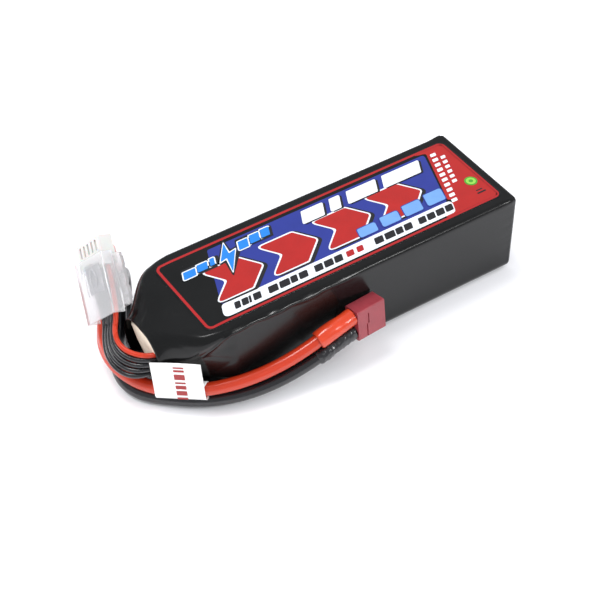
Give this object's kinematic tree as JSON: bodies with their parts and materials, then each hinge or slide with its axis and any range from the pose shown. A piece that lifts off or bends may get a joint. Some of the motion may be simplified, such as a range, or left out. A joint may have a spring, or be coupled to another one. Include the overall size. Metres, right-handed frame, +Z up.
{
  "type": "lipo battery pack",
  "caption": "Shrink-wrapped lithium-polymer battery pack with a printed top panel, power leads ending in a T plug and balance leads ending in a clipped plug",
  "frame": {"origin": "centre of the wrapped pack's underside, on the surface it lies on", "axes": "+X along the pack away from the leads, +Z up; the T plug lies beside the -Y face"},
  "size_m": [0.1484, 0.079, 0.0449],
  "materials": {
    "pouch_foil": "satin",
    "foam_tape": "matte",
    "tab_metal": "satin",
    "board": "satin",
    "shrink_film": "gloss",
    "card": "matte",
    "label_print": "gloss",
    "black_silicone": "satin",
    "red_silicone": "satin",
    "black_sleeve_film": "gloss",
    "red_sleeve_film": "gloss",
    "plug_nylon": "satin",
    "contact_brass": "polished",
    "white_nylon": "satin",
    "milky_plastic": "satin",
    "tag_paper": "matte"
  },
  "bodies": {
    "pack": {"cell_1": "pouch_foil", "cell_2": "pouch_foil", "cell_3": "pouch_foil", "cell_4": "pouch_foil", "cell_pad_1": "foam_tape", "cell_pad_2": "foam_tape", "cell_pad_3": "foam_tape", "rear_pad": "foam_tape", "cell_tabs": "tab_metal", "solder_joints": "tab_metal", "tab_board": "board", "shrink_wrap": "shrink_film", "end_card": "card", "top_label": "label_print", "black_lead": "black_silicone", "balance_wire_1": "black_silicone", "balance_wire_2": "black_silicone", "balance_wire_3": "black_silicone", "balance_wire_4": "black_silicone", "red_lead": "red_silicone", "balance_wire_5": "red_silicone", "black_sleeve": "black_sleeve_film", "red_sleeve": "red_sleeve_film", "t_plug_housing": "plug_nylon", "t_plug_contact_positive": "contact_brass", "t_plug_contact_negative": "contact_brass", "balance_contacts": "contact_brass", "balance_plug_housing": "white_nylon", "clip_rear_shell": "milky_plastic", "clip_hinge_strip": "milky_plastic", "wire_tag": "tag_paper"},
    "clip_front": {"clip_front_shell": "milky_plastic"}
  },
  "joints": [
    {"name": "clip_hinge", "type": "hinge", "parent": "pack", "child": "clip_front", "pos_m": [-0.07288, 0.02258, 0.01973], "axis": [-0.2315, -0.7791, -0.5826], "range_deg": [0, 95]}
  ]
}
